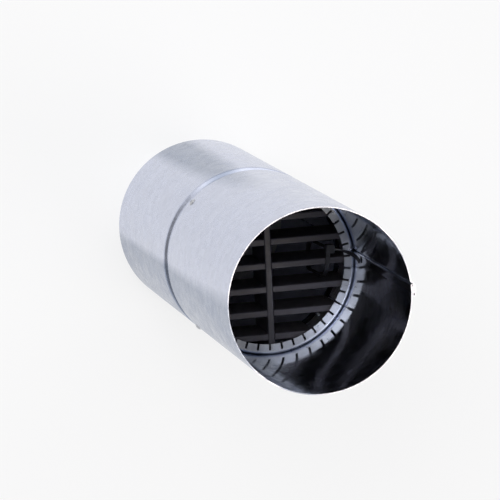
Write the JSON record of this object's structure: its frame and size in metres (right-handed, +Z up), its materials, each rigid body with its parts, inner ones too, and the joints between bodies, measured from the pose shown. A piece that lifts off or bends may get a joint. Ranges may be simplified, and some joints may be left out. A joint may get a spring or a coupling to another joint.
{
  "type": "intumescent fire damper",
  "caption": "Round galvanised duct sleeve with a lock seam and a swage, holding an egg-crate core of cased intumescent slats under a notched ring.",
  "frame": {"origin": "centre of the lower rim of the sleeve, in the plane that the sleeve stands on", "axes": "+Z up along the sleeve's axis to its other rim, +X along the slats towards the lock seam, +Y along the divider"},
  "size_m": [0.1528, 0.15, 0.406],
  "materials": {
    "sleeve": "hot-dip galvanised, fine spangle",
    "ring": "galvanised, smooth",
    "casing": "extruded, satin",
    "strip": "graphite compound, matt",
    "rivet": "zinc-plated, satin",
    "tie": "moulded, semi-matt"
  },
  "bodies": {
    "root": {"sleeve": "sleeve", "retaining_ring": "ring", "slat_casing_1": "casing", "slat_casing_2": "casing", "slat_casing_3": "casing", "slat_casing_4": "casing", "slat_casing_5": "casing", "slat_casing_6": "casing", "slat_casing_7": "casing", "divider_casing": "casing", "slat_strip_1": "strip", "slat_strip_2": "strip", "slat_strip_3": "strip", "slat_strip_4": "strip", "slat_strip_5": "strip", "slat_strip_6": "strip", "slat_strip_7": "strip", "divider_strip": "strip", "ring_rivets": "rivet", "cable_tie": "tie"}
  },
  "joints": []
}
